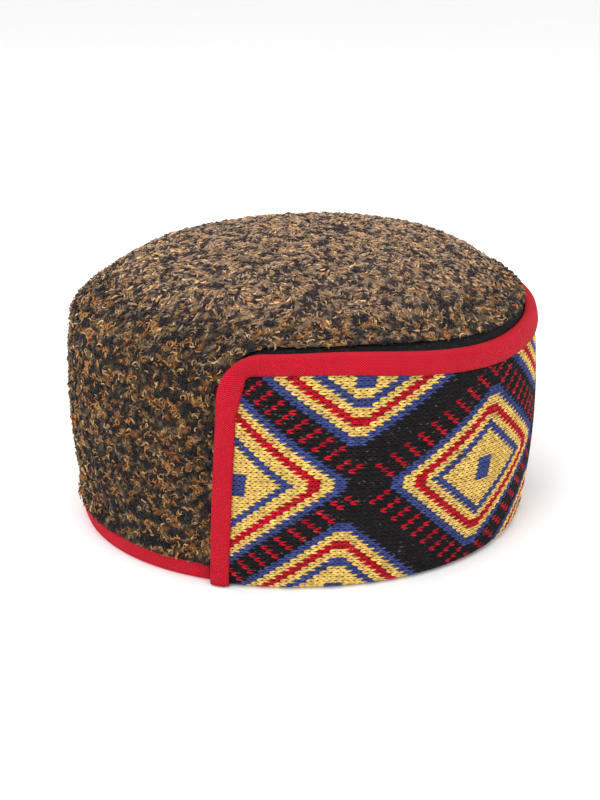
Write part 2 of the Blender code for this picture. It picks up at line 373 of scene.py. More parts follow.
def addBump(tree, shader, height, distance):
    bump = tree.nodes.new("ShaderNodeBump")
    bump.inputs["Distance"].default_value = distance
    tree.links.new(height, bump.inputs["Height"])
    tree.links.new(bump.outputs[0], shader.inputs["Normal"])


def placeGroup(tree, group, vector, **values):
    node = tree.nodes.new("ShaderNodeGroup")
    node.node_tree = group
    tree.links.new(vector, node.inputs["Vector"])
    for label, value in values.items():
        node.inputs[label].default_value = value
    return node


def makeYarnMaterial(name, look):  # takes its colour from the piece's own tint
    material, tree, shader = newMaterial(name, look)
    where = tree.nodes.new("ShaderNodeTexCoord").outputs["Object"]
    fibres = placeGroup(tree, yarnFibres, where, Depth=look["depth"])
    tint = tree.nodes.new("ShaderNodeVertexColor")
    tint.layer_name = "tint"
    colour = tinted(tree, tint.outputs["Color"], fibres.outputs["Shade"])
    tree.links.new(colour, shader.inputs["Base Color"])
    addBump(tree, shader, fibres.outputs["Height"], look["bump"])
    return material


def makeTwillMaterial(name, look):
    material, tree, shader = newMaterial(name, look)
    uv = tree.nodes.new("ShaderNodeUVMap")
    uv.uv_map = "cloth"
    weave = placeGroup(tree, twillWeave, uv.outputs["UV"], Pitch=look["pitch"], Slant=look["slant"])
    where = tree.nodes.new("ShaderNodeTexCoord").outputs["Object"]
    patches = mathNode(tree, "MULTIPLY_ADD", noiseNode(tree, where, 55.0), 0.24, 0.88)
    shade = mathNode(tree, "MULTIPLY", weave.outputs["Shade"], patches)
    colour = tinted(tree, look["colour"], shade)
    if look.get("glint"):  # single threads that catch the light
        glints = noiseNode(tree, where, 900.0, 1.0)
        spots = mathNode(tree, "MULTIPLY", mathNode(tree, "GREATER_THAN", glints, 0.62),
                         mathNode(tree, "GREATER_THAN", weave.outputs["Height"], 0.6))
        mix = tree.nodes.new("ShaderNodeMix")
        mix.data_type = "RGBA"
        tree.links.new(mathNode(tree, "MULTIPLY", spots, 0.6), mix.inputs["Factor"])
        tree.links.new(colour, mix.inputs["A"])
        mix.inputs["B"].default_value = (*look["glint"], 1)
        colour = mix.outputs["Result"]
    tree.links.new(colour, shader.inputs["Base Color"])
    addBump(tree, shader, weave.outputs["Height"], look["bump"])
    return material


# The curly wool

wool = {
    "lift": -1.6 * mm,  # the cloth under the curls, from the solid's face
    "clumpSize": 3.4 * mm, "clumpHeight": 0.75 * mm, "strandSize": 1.5 * mm,
    "columns": 360, "frontRows": 64, "rimRows": 8,
    "topColumns": 320, "shoulderRows": 22, "domeRows": 34,
    "backingColumns": 120, "backingRows": (24, 3), "backingTopRows": (10, 12),
    "seamDip": 0.9 * mm, "seamWidth": 1.3 * mm, "seamGap": 0.3 * mm, "mingle": 6.0 * mm,
    "hemLip": 3.2 * mm, "hemFade": 6 * mm, "hemClear": 0.3 * mm,
    "hemShade": 0.35, "hemShadeHeight": 3 * mm,
    "hemTurns": (0, 22, 28, 37, 44, 52), "hemHeights": (10.2, 10.0, 9.3, 8.8, 8.8, 10.0),
    "rimLip": 2.7 * mm, "rimFade": 4 * mm, "endLip": 2.9 * mm, "endFade": radians(5),
    "frontSag": 0.2 * mm, "rimSag": 1.8 * mm, "endSag": 2.4 * mm, "endSagRun": radians(6),
    "patchSizes": (3.7 * mm, 1.7 * mm), "toneSizes": (6.5 * mm, 2.4 * mm),
    "sideCurls": 13500, "topCurls": 17400, "flow": 11 * mm, "flowSpread": radians(42),
    "curlJitter": 0.07, "tiltShare": 0.8, "tiltSpread": 0.35, "sizeSpread": 0.18,
    "riseSpread": 0.2 * mm, "floorGap": 0.3 * mm, "brightSpread": 0.16,
}
tan, rust, straw = linear(158, 120, 76), linear(160, 98, 48), linear(186, 150, 104)
sand, taupe, olive = linear(150, 119, 91), linear(118, 100, 84), linear(98, 78, 46)
char, ink = linear(42, 39, 42), linear(30, 29, 35)
plum, slate = linear(56, 46, 47), linear(42, 37, 43)
# groundShade: painted shade, how much darker the cloth under the curls is than the curls, for the
# shadow between them
woolMixes = {
    "side": {"pale": [tan, straw, olive], "warm": [rust, tan], "dull": [taupe, olive],
             "dark": [char, ink], "darkBelow": 0.02, "warmAbove": 0.0, "dullBelow": -0.2,
             "groundShade": 0.42, "bright": 1.12},
    "top": {"pale": [sand, straw, taupe], "warm": [sand, taupe], "dull": [taupe, sand],
            "dark": [plum, slate], "darkBelow": -0.10, "warmAbove": 0.20, "dullBelow": 0.0,
            "groundShade": 0.55, "bright": 1.44},
}
curlLook = {"roughness": 0.85, "sheen": 0.12, "sheenTint": (1.0, 0.9, 0.78),
            "depth": 1.0, "bump": 0.15 * mm}
woolYarn = makeYarnMaterial("woolYarn", curlLook)
woolGround = makeYarnMaterial("woolGround", {**curlLook, "depth": 1.4, "bump": 0.6 * mm})

backingLook = {"colour": linear(46, 42, 42), "roughness": 0.8, "sheen": 0.1,
               "pitch": 0.8 * mm, "slant": 1.0, "bump": 0.08 * mm}
backingCloth = makeTwillMaterial("backingCloth", backingLook)


def woolTints(points, mix, rng, jitter=0.0, shade=1.0):  # patches of dark, pale, warm and dull yarn
    (large, small), (broad, narrow) = wool["patchSizes"], wool["toneSizes"]
    patch = 0.65 * noiseAt(points, large) + 0.55 * noiseAt(points, small, 7.0)
    patch += rng.normal(0, jitter, len(points))
    tone = 0.7 * noiseAt(points, broad, 31.0) + 0.5 * noiseAt(points, narrow, 53.0)
    pick = rng.integers(0, 60, len(points))
    colours = np.array(mix["pale"])[pick % 3]
    colours = np.where((tone > mix["warmAbove"])[:, None], np.array(mix["warm"])[pick % 2], colours)
    colours = np.where((tone < mix["dullBelow"])[:, None], np.array(mix["dull"])[pick % 2], colours)
    colours = np.where((patch < mix["darkBelow"])[:, None], np.array(mix["dark"])[pick % 2], colours)
    bright = np.clip(rng.normal(1, wool["brightSpread"], len(points)), 0.6, 1.5)
    bright = bright * shade * mix["bright"]
    return np.concatenate([colours * bright[:, None], np.ones((len(points), 1))], 1)


def mingledTints(points, mix, rng, **how):  # near the seam, some curls have the other cloth's colours
    other = woolMixes["top" if mix is woolMixes["side"] else "side"]
    fromSeam = np.abs(points[:, 2] - seamHeight(angleOf(points)))
    chance = 0.5 * np.exp(-fromSeam / wool["mingle"])
    own, theirs = woolTints(points, mix, rng, **how), woolTints(points, other, rng, **how)
    return np.where((rng.random(len(points)) < chance)[:, None], theirs, own)


def hemCover(angle):  # the height of the wool's lower edge over the hem's tape
    return np.interp(np.degrees(fromFront(angle)), wool["hemTurns"], wool["hemHeights"]) * mm


def seamFurrow(points):  # the wool dips along the shoulder seam
    fromSeam = points[:, 2] - seamHeight(angleOf(points))
    return wool["seamDip"] * np.exp(-(fromSeam / wool["seamWidth"]) ** 2)


def sideLift(points):  # how far the side's wool stands out of the solid's face
    angle = angleOf(points)
    height, away = points[:, 2], fromFront(angle)
    end = frontEnd + cap["frontEndLean"] / meanRadius * height / cap["wallHeight"]
    front = away < end + radians(1)
    hemLip = wool["hemLip"] * (1 - ease((height - hemCover(angle)) / wool["hemFade"]))
    endLip = wool["endLip"] * ease((away - end + wool["endFade"]) / wool["endFade"])
    rimLip = wool["rimLip"] * (1 - ease((height - bandHeight(angle)) / wool["rimFade"]))
    lift = wool["lift"] + np.where(front, hemLip, 0)
    lift += np.where(front & (height < cap["flapFront"]), endLip, 0)
    lift += np.where(front, 0, rimLip)
    return lift - seamFurrow(points)


def topLift(points):
    return wool["lift"] - seamFurrow(points)


def woolSide(columns, frontRows, rimRows):  # full height at the front, a rim elsewhere
    front = round(columns * frontEnd / pi)
    angles = np.concatenate([np.linspace(-frontEnd, frontEnd, front),
                             np.linspace(frontEnd, tau - frontEnd, columns - front)[1:]])
    bm, column, row = makeGrid(len(angles), frontRows + rimRows)
    angle = angles[column]
    rimBase = bandHeight(angle) - between(wool["frontSag"], wool["rimSag"], flapDrop(angle))
    rimBase -= wool["endSag"] * (1 - ease((fromFront(angle) - frontEnd) / wool["endSagRun"]))
    low, top = hemCover(angle), seamHeight(angle)
    height = np.where(row < frontRows, between(low, rimBase, row / frontRows),
                      between(rimBase, top, (row - frontRows) / (rimRows - 1)))
    putAt(bm, leanedPoints(angle, height))
    setMap(bm, angle * meanRadius, height)
    behind = (row < frontRows) & (fromFront(angle) > frontEnd + 1e-4)
    dropped = [v for v, gone in zip(bm.verts, behind) if gone]
    bmesh.ops.delete(bm, geom=dropped, context="VERTS")
    return bm


def woolTop(columns, shoulderRows, domeRows):
    rows = shoulderRows + domeRows
    bm, column, row = makeGrid(columns, rows)
    angle = column / (columns - 1) * tau
    start = turnAt(angle, seamHeight(angle) + wool["seamGap"] - cap["wallHeight"])
    turn = between(start, pi / 2, np.minimum(row / shoulderRows, 1))
    reach = np.clip((rows - 1 - row) / (domeRows - 1), 0, 1)[:, None]
    middle = np.array([0, cap["planShift"] - cap["forwardLean"],
                       cap["wallHeight"] + cap["shoulderRise"]])
    points = middle + (shoulderPoints(angle, turn) - middle) * reach
    points[:, 2] += cap["domeRise"] * (1 - reach[:, 0] ** 2)
    putAt(bm, points)
    setMap(bm, points[:, 0], points[:, 1])
    return bm


def liftCloth(bm, lift, bumpy):  # moves the cloth along its normals, and gives its old places
    bmesh.ops.remove_doubles(bm, verts=bm.verts, dist=1e-6)
    bm.normal_update()
    points = np.array([v.co for v in bm.verts])
    normals = np.array([v.normal for v in bm.verts])
    rise = lift(points)
    if bumpy:
        clumps = noiseAt(points, wool["clumpSize"], 3.0)
        strands = noiseAt(points, wool["strandSize"], 11.0)
        rise = rise + wool["clumpHeight"] * (clumps + 0.5 * strands)
    putAt(bm, points + normals * rise[:, None])
    return points


def makeWool(name, bm, lift, mix, node):
    rng = np.random.default_rng(len(name))
    points = liftCloth(bm, lift, True)
    piece = finishPiece(bm, name, woolGround, [node])
    # the cloth under the curls has the curls' own colours, darkened as painted shade between the
    # curls
    tints = mingledTints(points, mix, rng, shade=mix["groundShade"])
    aboveHem = (points[:, 2] - hemCover(angleOf(points))) / wool["hemShadeHeight"]
    tints[:, :3] *= between(wool["hemShade"], 1, ease(aboveHem))[:, None]
    setTint(piece.data, tints)
    return piece


def makeBacking(name, bm):  # the crown's inner face
    liftCloth(bm, lambda points: np.full(len(points), -cap["crownThickness"]), False)
    bmesh.ops.reverse_faces(bm, faces=bm.faces)
    return finishPiece(bm, name, backingCloth)


def makeCurl(radius, arc, thick, lift, steps):  # one curled strand, pointed at both ends
    bm = bmesh.new()
    bmesh.ops.create_circle(bm, segments=3, radius=thick)
    bmesh.ops.rotate(bm, verts=bm.verts, matrix=Matrix.Rotation(pi / 2, 3, "X"))
    bmesh.ops.translate(bm, verts=bm.verts, vec=(radius, 0, 0))
    geom = bm.verts[:] + bm.edges[:]
    bmesh.ops.spin(bm, geom=geom, axis=(0, 0, 1), cent=(0, 0, 0), angle=arc, steps=steps)
    bm.verts.ensure_lookup_table()
    rings = [bm.verts[3 * i:3 * i + 3] for i in range(steps + 1)]
    for i, ring in enumerate(rings):
        bmesh.ops.translate(bm, verts=ring, vec=(0, 0, lift * (i / steps)))
    for ring in (rings[0], rings[-1]):
        middle = sum((v.co for v in ring), Vector()) / 3
        bmesh.ops.pointmerge(bm, verts=ring, merge_co=middle)
    bmesh.ops.recalc_face_normals(bm, faces=bm.faces)
    shape = readShape(bm)
    shape["points"] -= shape["points"].mean(0)
    return shape


def scatterOn(piece, count, rng):  # even over the surface: points and normals
    mesh = piece.data
    mesh.calc_loop_triangles()
    corners = np.zeros(len(mesh.loop_triangles) * 3, np.int32)
    mesh.loop_triangles.foreach_get("vertices", corners)
    corners = corners.reshape(-1, 3)
    points = np.zeros(len(mesh.vertices) * 3, np.float32)
    normals = points.copy()
    mesh.vertices.foreach_get("co", points)
    mesh.vertex_normals.foreach_get("vector", normals)
    points, normals = (values.reshape(-1, 3).astype(float) for values in (points, normals))
    a, b, c = (points[corners[:, i]] for i in range(3))
    area = np.linalg.norm(np.cross(b - a, c - a), axis=1)
    pick = corners[rng.choice(len(area), count, p=area / area.sum())]
    one, two = np.sqrt(rng.random(count)), rng.random(count)
    weights = np.stack([1 - one, one * (1 - two), one * two], 1)[..., None]
    normal = (normals[pick] * weights).sum(1)
    return (points[pick] * weights).sum(1), normal / np.linalg.norm(normal, axis=1, keepdims=True)


def clearOfHem(points):  # leaves the tape below the wool bare
    return points[:, 2] > hemCover(angleOf(points)) + wool["hemClear"]


def strewCurls(name, piece, count, kinds, mix, seed, flow=None):
    rng = np.random.default_rng(seed)
    points, normals = scatterOn(piece, count, rng)
    clear = clearOfHem(points)
    points, normals, count = points[clear], normals[clear], int(clear.sum())
    kind = rng.choice(len(kinds), count, p=[k["share"] for k in kinds])
    tints = mingledTints(points, mix, rng, jitter=wool["curlJitter"])
    tangent = np.cross(normals, rng.normal(size=(count, 3)))
    tangent /= np.linalg.norm(tangent, axis=1, keepdims=True)
    if flow:  # the strands lie along a slowly turning direction, which changes over this length
        ways = np.stack([noiseAt(points, flow, shift) for shift in (61.0, 73.0, 89.0)], 1)
        tangent = ways - normals * (ways * normals).sum(1, keepdims=True)
        tangent /= np.linalg.norm(tangent, axis=1, keepdims=True)
    side = np.cross(normals, tangent)
    batches = []
    for i, look in enumerate(kinds):
        mine = kind == i
        total = int(mine.sum())
        shape = makeCurl(look["radius"], radians(look["arc"]), look["thick"], look["lift"],
                         look["steps"])
        tilt = radians(look["tilt"]) * rng.normal(wool["tiltShare"], wool["tiltSpread"], total)
        turn = rng.random(total) * tau
        if flow:
            turn = rng.normal(0, wool["flowSpread"], total) - radians(look["arc"] / 2 + 90)
        axis = normals[mine] * np.cos(tilt)[:, None] + side[mine] * np.sin(tilt)[:, None]
        cross = side[mine] * np.cos(tilt)[:, None] - normals[mine] * np.sin(tilt)[:, None]
        first = tangent[mine] * np.cos(turn)[:, None] + cross * np.sin(turn)[:, None]
        second = np.cross(axis, first)
        size = np.clip(rng.normal(1, wool["sizeSpread"], total), 0.6, 1.5)[:, None, None]
        local = shape["points"][None] * size
        risen = look["rise"] + rng.normal(0, wool["riseSpread"], total)
        centre = points[mine] + normals[mine] * risen[:, None]
        placed = centre[:, None] + local[..., :1] * first[:, None] + local[..., 1:2] * second[:, None]
        placed += local[..., 2:] * axis[:, None]
        placed[..., 2] = np.maximum(placed[..., 2], wool["floorGap"])
        each = np.repeat(tints[mine][:, None], shape["points"].shape[0], 1)
        batches.append((shape, placed, each))
    return joinCopies(name, batches, woolYarn)


def kindOfCurl(share, radius, arc, thick, lift, tilt, rise, steps):
    return {"share": share, "radius": radius * mm, "arc": arc, "thick": thick * mm,
            "lift": lift * mm, "tilt": tilt, "rise": rise * mm, "steps": steps}


# Tight curls on the side and matted strands on the top, each with a few fine stray hairs
sideKinds = [
    kindOfCurl(share=0.36, radius=0.85, arc=270, thick=0.33, lift=0.5, tilt=38, rise=0.35, steps=4),
    kindOfCurl(share=0.34, radius=1.20, arc=200, thick=0.36, lift=0.6, tilt=34, rise=0.40, steps=4),
    kindOfCurl(share=0.24, radius=1.80, arc=130, thick=0.38, lift=0.6, tilt=28, rise=0.45, steps=3),
    kindOfCurl(share=0.06, radius=1.10, arc=230, thick=0.14, lift=0.9, tilt=60, rise=0.90, steps=4),
]
topKinds = [
    kindOfCurl(share=0.20, radius=1.10, arc=200, thick=0.36, lift=0.4, tilt=24, rise=0.25, steps=3),
    kindOfCurl(share=0.46, radius=1.70, arc=110, thick=0.38, lift=0.4, tilt=18, rise=0.28, steps=3),
    kindOfCurl(share=0.28, radius=2.50, arc=70, thick=0.38, lift=0.4, tilt=14, rise=0.32, steps=3),
    kindOfCurl(share=0.06, radius=2.00, arc=110, thick=0.13, lift=0.8, tilt=45, rise=0.75, steps=3),
]

sideWool = makeWool("sideWool", woolSide(wool["columns"], wool["frontRows"], wool["rimRows"]),
                    sideLift, woolMixes["side"], "side_wall")
topWool = makeWool("topWool", woolTop(wool["topColumns"], wool["shoulderRows"], wool["domeRows"]),
                   topLift, woolMixes["top"], "top_panel")
sideBacking = makeBacking("sideBacking", woolSide(wool["backingColumns"], *wool["backingRows"]))
topBacking = makeBacking("topBacking", woolTop(wool["backingColumns"], *wool["backingTopRows"]))
sideCurls = [strewCurls(f"sideCurls_{i}", sideWool, wool["sideCurls"] // 2, sideKinds,
                        woolMixes["side"], 10 + i) for i in (1, 2)]
topCurls = [strewCurls(f"topCurls_{i}", topWool, wool["topCurls"] // 2, topKinds,
                       woolMixes["top"], 20 + i, flow=wool["flow"]) for i in (1, 2)]
print("curly wool made")


# The knitted flap

knit = {
    "row": 2.04 * mm, "farRow": 2.06 * mm,  # farther round, the rows are higher and lean more
    "lean": 0.13, "farLean": 0.17, "farFrom": 20 * mm, "farBy": 100 * mm, "drop": 6.2 * mm,
    "nearPitch": 2.15 * mm, "farPitch": 2.75 * mm, "nearEnd": 14 * mm, "farStart": 38 * mm,
    "origin": radians(52), "firstCentre": 10.5 * mm, "centreHeight": 49.5 * mm,
    "midHeight": 49.5 * mm, "loft": 0.60 * mm, "underTape": 5.0 * mm, "underFold": 2.2 * mm,
    "rowsDown": 27, "rowsUp": 27,
    # footShade and crest: painted shade at each stitch's foot and painted highlight on its crest
    "loose": 0.03, "footShade": 0.42, "crest": 1.08, "specks": 0.012, "speckHighlight": 0.09,
    "legWidth": 0.225, "legFoot": 0.11, "legRise": 0.33, "legStart": -0.63, "legLength": 1.31,
    "loftSpread": 0.08, "yarnSpread": 0.12, "hairSpread": 0.2,
    "clothColumns": 200, "clothRows": 30, "clothInset": 1.5 * mm,
}
# In stitches and rows: how far apart the diamonds are, and how far their rings and dashes reach
chart = {
    "repeat": 43, "firstAt": 1, "smallAt": 19, "smallRow": 24.5,
    "rings": ((18, "blue"), (16, "yellow"), (14, "red"), (12, "yellow")),
    "dashFrom": 19, "dashBy": 25, "dashAcross": 20, "dashUp": 24, "dashEvery": 4,
}
yarns = {"yellow": linear(237, 197, 107), "blue": linear(64, 74, 132),
         "red": linear(186, 18, 38), "black": linear(31, 27, 30)}
knitLook = {"roughness": 0.8, "sheen": 0.02, "depth": 0.9, "bump": 0.2 * mm}
knitYarn = makeYarnMaterial("knitYarn", knitLook)
# the near-black cloth under the stitches: painted shade that shows in the gaps between them
gapShadeLook = {"colour": linear(12, 11, 12), "roughness": 0.9, "sheen": 0.02,
              "pitch": 1.0 * mm, "slant": 0.0, "bump": 0.1 * mm}
knitGroundShade = makeTwillMaterial("knitGroundShade", gapShadeLook)

# The flap's face by its length round, measured at mid height
sampleAngles = np.linspace(cap["flapEnd"] - 0.05, tau - cap["flapEnd"] + 0.05, 2000)
samplePoints = wallPoints(sampleAngles, knit["midHeight"], cap["flapOuter"])
sampleSteps = np.linalg.norm(np.diff(samplePoints, axis=0), axis=1)
sampleLengths = np.concatenate([[0], np.cumsum(sampleSteps)])
sampleLengths -= np.interp(knit["origin"], sampleAngles, sampleLengths)
fullLength = np.interp(tau - knit["origin"], sampleAngles, sampleLengths)


def angleAt(length):
    return np.interp(length, sampleLengths, sampleAngles)


def pitchAt(length):  # a stitch's width, less beside the flap's ends
    fromEnd = np.minimum(length, fullLength - length)
    share = (fromEnd - knit["nearEnd"]) / (knit["farStart"] - knit["nearEnd"])
    return between(knit["nearPitch"], knit["farPitch"], np.clip(share, 0, 1))


stitchLengths = np.linspace(-12 * mm, fullLength + 12 * mm, 6000)
stitchCounts = np.concatenate([[0], np.cumsum(np.diff(stitchLengths) / pitchAt(stitchLengths[:-1]))])
stitchCounts -= np.interp(knit["firstCentre"], stitchLengths, stitchCounts)


def faceSpot(stitch, row):  # where a stitch lies: length round at mid height, and height
    mid = np.interp(stitch, stitchCounts, stitchLengths)
    fromEnd = np.minimum(mid, fullLength - mid)
    far = ease((fromEnd - knit["farFrom"]) / (knit["farBy"] - knit["farFrom"]))
    rowHeight = between(knit["row"], knit["farRow"], far)
    lean = between(knit["lean"], knit["farLean"], far)
    height = knit["centreHeight"] + rowHeight * row - knit["drop"] * flapDrop(angleAt(mid))
    return mid + lean * (height - knit["midHeight"]), height


def facePoints(angle, height, below):  # on the flap's face, and round the fold at its lower edge
    radius = cap["turnRadius"]
    turned = np.clip((radius - height) / radius, 0, pi / 2)
    outward = cap["flapOuter"] - radius * (1 - np.cos(turned)) + below * np.cos(turned)
    inward = np.maximum((radius - height) / radius - pi / 2, 0) * radius
    level = np.where(height > radius, height, radius * (1 - np.sin(turned)) - below * np.sin(turned))
    return wallPoints(angle, level, outward - inward)


def yarnAt(stitch, row):  # the chart: whole and cut diamonds, with red dashes round the whole ones
    repeat = chart["repeat"]
    across = np.abs((stitch + repeat / 2) % repeat - repeat / 2)
    first = stitch < chart["smallAt"]  # the first diamond, whose middle is under the tape
    across = np.where(first, stitch - chart["firstAt"], across)
    up = np.abs(row)
    halfAcross = np.abs((stitch - chart["smallAt"] + repeat / 2) % repeat - repeat / 2)
    halfUp = np.abs(chart["smallRow"] - up)
    blunt = np.where(first, across, np.maximum(across, 1))  # two stitches wide at the points
    whole = blunt + np.maximum(up, 1) - 1
    cut = np.maximum(halfAcross, 1) + halfUp + 1
    colour = np.full(stitch.shape, "black", dtype="<U6")
    dashes = (whole >= chart["dashFrom"]) & (whole < chart["dashBy"])
    dashes &= (across <= chart["dashAcross"]) & (up > 0) & (up < chart["dashUp"])
    colour[dashes & ((across - up) % chart["dashEvery"] == 0)] = "red"
    for far, name in chart["rings"]:
        colour[(whole < far) | (cut < far)] = name
    inner = across + up + first
    colour[(inner < 11) | (cut < 10)] = "blue"
    colour[(inner < 9) | (cut < 8)] = "yellow"
    middle = (across < 2) & (across + up <= 3) & (up < 3)
    colour[middle | ((halfAcross < 2) & (halfUp < 3 + np.sign(row)))] = "blue"
    return colour


def makeStitch():  # two legs that meet at the left, in stitch widths, row heights and loft
    bm = bmesh.new()
    bmesh.ops.create_grid(bm, x_segments=4, y_segments=2, size=0.5)
    for vertex in bm.verts:
        along, side = vertex.co.x + 0.5, vertex.co.y * 2
        wide = knit["legWidth"] * (0.45 + 0.55 * sin(pi * min(max(along, 0.02), 0.98)) ** 0.6)
        middle = knit["legFoot"] + knit["legRise"] * along ** 0.9
        crest = sin(pi * (0.12 + 0.82 * along))
        vertex.co = (knit["legStart"] + knit["legLength"] * along - side * wide * 0.3,
                     middle + side * wide, -1.0 + crest * (1.0 if abs(side) < 0.5 else 0.2))
    other = bmesh.ops.duplicate(bm, geom=bm.verts[:] + bm.edges[:] + bm.faces[:])["geom"]
    bmesh.ops.scale(bm, vec=(1, -1, 1), verts=[g for g in other if isinstance(g, bmesh.types.BMVert)])
    bmesh.ops.reverse_faces(bm, faces=[g for g in other if isinstance(g, bmesh.types.BMFace)])
    return readShape(bm)


def makeKnit():
    rng = np.random.default_rng(5)
    stitches = np.arange(np.ceil(stitchCounts[0]), np.floor(stitchCounts[-1]))
    rows = np.arange(-knit["rowsDown"], knit["rowsUp"] + 1)
    stitch, row = (grid.ravel() for grid in np.meshgrid(stitches, rows))
    length, height = faceSpot(stitch, row)
    angle = angleAt(length)
    place = angle * meanRadius
    start = endPlace(np.clip(height, 0, cap["flapFront"])) + knit["underTape"]
    kept = (place > start) & (place < roundLength - start)
    kept &= (height > -knit["underFold"]) & (height < flapTop(angle) - knit["underTape"])
    stitch, row = stitch[kept], row[kept]
    shape = makeStitch()
    local = shape["points"]
    loose = rng.normal(0, knit["loose"], (len(stitch), 2))
    length, height = faceSpot(stitch[:, None] + local[:, 0] + loose[:, :1],
                              row[:, None] + local[:, 1] + loose[:, 1:])
    below = knit["loft"] * local[:, 2] * (1 + rng.normal(0, knit["loftSpread"], (len(stitch), 1)))
    placed = facePoints(angleAt(length), height, below)
    colours = np.array([yarns[name] for name in yarnAt(stitch, row)])
    colours = colours * np.clip(rng.normal(1, knit["yarnSpread"], (len(stitch), 1)), 0.7, 1.35)
    colours = np.concatenate([colours, np.ones((len(stitch), 1))], 1)
    tints = np.repeat(colours[:, None], len(local), 1)
    hairs = np.clip(rng.normal(1, knit["hairSpread"], tints.shape[:2]), 0.5, 1.6)
    depth = between(knit["footShade"], knit["crest"], local[:, 2] + 1)  # painted shade at a stitch's foot, painted highlight towards its crest
    tints[..., :3] *= hairs[..., None]
    tints[..., :3] *= depth[:, None]
    tints[rng.random(tints.shape[:2]) < knit["specks"], :3] += knit["speckHighlight"]  # painted highlights: a few pale points where single fibres catch the light
    half = np.median(stitch)
    return [joinCopies(name, [(shape, placed[pick], tints[pick])], knitYarn)
            for name, pick in (("knitLeft", stitch < half), ("knitRight", stitch >= half))]


def makeFlapCloth():  # the cloth that the stitches stand on, folded in under the band; its near-black colour is painted shade in the gaps between stitches
    bm, column, row = makeGrid(knit["clothColumns"], knit["clothRows"])
    inset = knit["clothInset"]
    fold = cap["turnRadius"] * (pi / 2 - 1) + cap["turnDepth"]
    share = column / (knit["clothColumns"] - 1)
    first = endPlace(cornerBase()) + inset
    place = between(first, roundLength - first, share)
    fromEnd = np.minimum(share, 1 - share) * (roundLength - 2 * first)
    radius = cap["flapCorner"] - inset
    corner = radius - np.sqrt(np.maximum(radius ** 2 - (radius - fromEnd) ** 2, 0))
    top = flapTop(place / meanRadius) - inset - np.where(fromEnd < radius, corner, 0)
    height = between(-fold, top, row / (knit["clothRows"] - 1))
    lean = (endPlace(np.maximum(height, 0)) + inset - first) * (1 - 2 * share)
    below = np.full(len(share), -knit["loft"])
    putAt(bm, facePoints((place + lean) / meanRadius, height, below))
    setMap(bm, place, height)
    piece = finishPiece(bm, "flapCloth", knitGroundShade, ["flap"])
    thicken(piece, cap["flapOuter"] - cap["flapInner"] - knit["loft"])
    return piece


flapCloth = makeFlapCloth()
knitPieces = makeKnit()
print("knitted flap made")


# The red tape and the black band

tape = {
    "width": 9.0 * mm, "inside": 6.5 * mm, "edge": 1.2 * mm, "thickness": 0.6 * mm,
    "outer": 5.7 * mm, "inner": 0.4 * mm, "puff": 0.35 * mm, "tuck": 0.55 * mm,
    "pucker": 0.10 * mm, "start": 1.0 * mm, "endWidth": 8.2 * mm, "cornerWidth": 7.6 * mm,
    "mitre": 4.2 * mm, "mitreRun": 17 * mm, "innerRound": 2.2 * mm, "cornerRun": 60 * mm,
    "legPoints": 62, "cornerPoints": 26, "topPoints": 262,
}
hem = {"width": 9.0 * mm, "inside": 8.0 * mm, "edge": 1.2 * mm, "thickness": 0.6 * mm,
       "outer": 1.25 * mm, "inner": -5.45 * mm, "puff": 0.25 * mm, "tuck": 0.4 * mm,
       "pucker": 0.08 * mm, "points": 130}
tapePoints = {"leaf": 9, "turn": 5, "back": 4}  # how finely a tape's section is divided
puckerSize = 7 * mm
band = {"columns": 260, "lowest": 0.03, "shown": 0.88, "hiddenRows": 8, "shownRows": 9}
redLook = {"colour": linear(234, 20, 50), "roughness": 0.7, "sheen": 0.04,
           "sheenTint": (1.0, 0.6, 0.6), "pitch": 1.15 * mm, "slant": 1.0, "bump": 0.45 * mm}
blackLook = {"colour": linear(22, 22, 25), "roughness": 0.6, "sheen": 0.02, "pitch": 0.9 * mm,
             "slant": 1.0, "bump": 0.20 * mm, "glint": linear(96, 96, 104)}
redTwill = makeTwillMaterial("redTwill", redLook)
blackTwill = makeTwillMaterial("blackTwill", blackLook)


def tapeSection(look):  # outer leaf, fold over the edge, inner leaf: in from the edge, outward
    edge, turns = look["edge"], np.linspace(0, pi / 2, tapePoints["turn"])
    leaf = np.linspace(1, 0, tapePoints["leaf"])[:-1]
    swell = look["puff"] * np.sin(pi * leaf) - look["tuck"] * ease((leaf - 0.8) / 0.2)
    outer = np.stack([between(edge, look["width"], leaf), look["outer"] + swell], 1)
    over = np.stack([edge * (1 - np.sin(turns)), look["outer"] - edge * (1 - np.cos(turns))], 1)
    under = np.stack([edge * (1 - np.cos(turns)), look["inner"] + edge * (1 - np.sin(turns))], 1)
    inside = np.linspace(edge, look["inside"], tapePoints["back"])[1:]
    back = np.stack([inside, np.full(len(inside), look["inner"])], 1)
    return np.concatenate([outer, over, under, back])


def sectionLengths(section):
    return np.concatenate([[0], np.cumsum(np.linalg.norm(np.diff(section, axis=0), axis=1))])


def makeTape(name, route, inner, look, node, keepInner):
    # route is the free edge and inner the outer leaf's other edge; below the height keepInner
    # there is no inner leaf
    section = tapeSection(look)
    across = sectionLengths(section)
    along = sectionLengths(route)
    bm, column, row = makeGrid(len(route), len(section))
    step, out = section[row, 0], section[row, 1]
    wave = noiseAt(np.stack([along[column], step * 0.4, step * 0], 1), puckerSize, 17.0)
    out = out + look["pucker"] * wave * (row < tapePoints["leaf"])
    spot = route[column] + (inner - route)[column] * (step / look["width"])[:, None]
    putAt(bm, wallPoints(spot[:, 0] / meanRadius, spot[:, 1], out))
    setMap(bm, along[column], across[row])
    lastTurn = tapePoints["leaf"] + 2 * tapePoints["turn"] - 3
    low = (row > lastTurn) & (route[column, 1] < keepInner)
    dropped = [v for v, gone in zip(bm.verts, low) if gone]
    bmesh.ops.delete(bm, geom=dropped, context="VERTS")
    piece = finishPiece(bm, name, redTwill, [node])
    thicken(piece, look["thickness"])
    return piece


